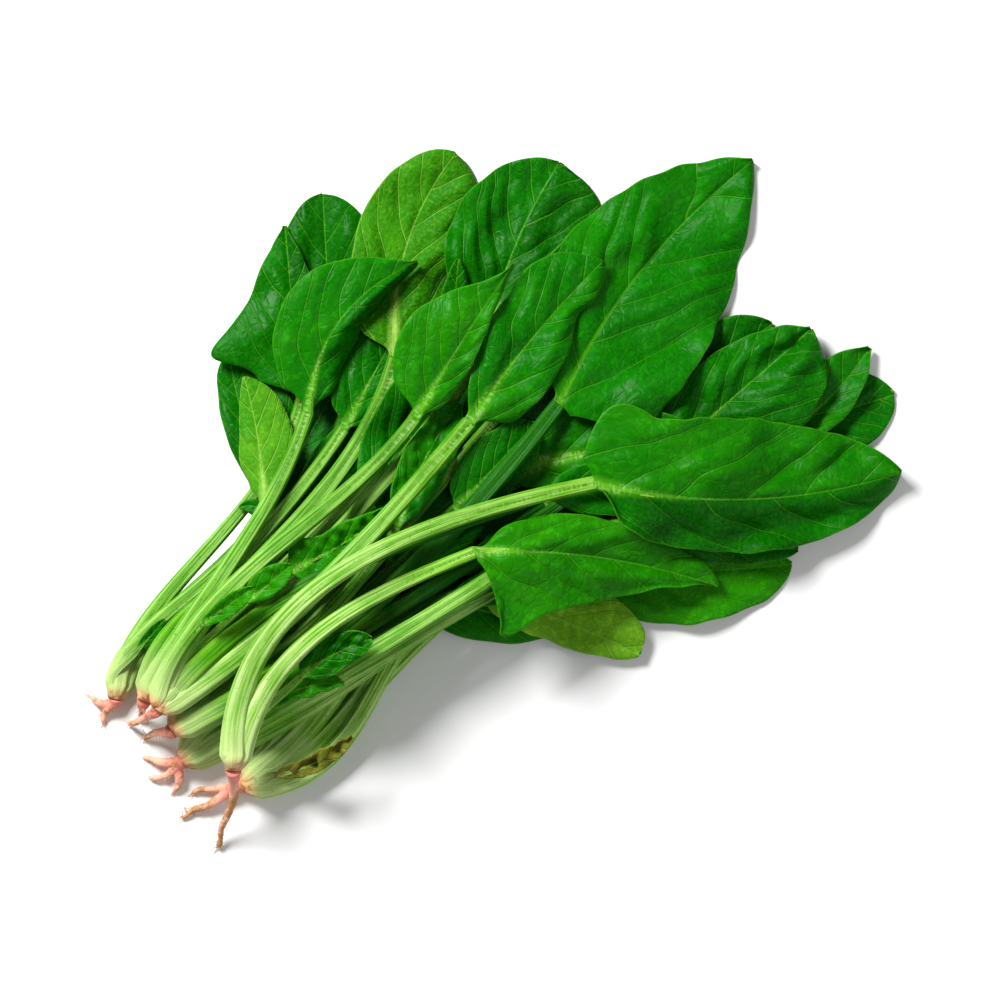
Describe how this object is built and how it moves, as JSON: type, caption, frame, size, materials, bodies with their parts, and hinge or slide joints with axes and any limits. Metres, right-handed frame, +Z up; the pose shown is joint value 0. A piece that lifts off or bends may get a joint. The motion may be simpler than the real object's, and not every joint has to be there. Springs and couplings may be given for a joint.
{
  "type": "spinach bunch",
  "caption": "Loose bunch of young spinach plants lying on its side, with leaf blades, leaf stalks, crowns and forked tap roots.",
  "frame": {"origin": "centre of the bounding box's bottom face, on the surface that the bunch lies on", "axes": "+X along the bunch from the roots to the leaf tips, +Y across it to the left, +Z up"},
  "size_m": [0.3637, 0.2518, 0.0587],
  "materials": {
    "leaf_blade": "satin",
    "leaf_underside": "satin",
    "withered_leaf": "matte",
    "stalk": "satin",
    "root": "matte"
  },
  "bodies": {
    "root": {"plant_1_leaf_1": "leaf_blade", "plant_1_leaf_2": "leaf_blade", "plant_1_leaf_3": "leaf_blade", "plant_1_leaf_4": "leaf_blade", "plant_1_leaf_5": "leaf_blade", "plant_1_leaf_6": "leaf_blade", "plant_1_leaf_7": "leaf_underside", "plant_1_leaf_8": "leaf_blade", "plant_1_root": "root", "plant_1_stalks": "stalk", "plant_2_leaf_1": "leaf_blade", "plant_2_leaf_2": "leaf_blade", "plant_2_leaf_3": "leaf_underside", "plant_2_leaf_4": "leaf_blade", "plant_2_root": "root", "plant_2_stalks": "stalk", "plant_3_leaf_1": "leaf_blade", "plant_3_leaf_2": "leaf_blade", "plant_3_leaf_3": "leaf_blade", "plant_3_leaf_4": "leaf_blade", "plant_3_leaf_5": "leaf_blade", "plant_3_leaf_6": "leaf_blade", "plant_3_leaf_7": "leaf_blade", "plant_3_root": "root", "plant_3_stalks": "stalk", "plant_4_leaf_1": "leaf_blade", "plant_4_leaf_2": "leaf_blade", "plant_4_leaf_3": "leaf_blade", "plant_4_leaf_4": "leaf_blade", "plant_4_leaf_5": "leaf_blade", "plant_4_leaf_6": "leaf_blade", "plant_4_root": "root", "plant_4_stalks": "stalk", "plant_5_leaf_1": "leaf_blade", "plant_5_leaf_10": "leaf_blade", "plant_5_leaf_2": "leaf_blade", "plant_5_leaf_3": "leaf_blade", "plant_5_leaf_4": "leaf_blade", "plant_5_leaf_5": "leaf_blade", "plant_5_leaf_6": "leaf_blade", "plant_5_leaf_7": "leaf_blade", "plant_5_leaf_8": "leaf_blade", "plant_5_leaf_9": "leaf_blade", "plant_5_root": "root", "plant_5_stalks": "stalk", "plant_6_leaf_1": "leaf_blade", "plant_6_leaf_2": "leaf_blade", "plant_6_leaf_3": "leaf_blade", "plant_6_leaf_4": "leaf_blade", "plant_6_root": "root", "plant_6_stalks": "stalk", "plant_7_leaf_1": "leaf_blade", "plant_7_leaf_2": "leaf_blade", "plant_7_leaf_3": "leaf_blade", "plant_7_leaf_4": "leaf_underside", "plant_7_leaf_5": "leaf_blade", "plant_7_leaf_6": "leaf_blade", "plant_7_leaf_7": "withered_leaf", "plant_7_root": "root", "plant_7_stalks": "stalk"}
  },
  "joints": []
}
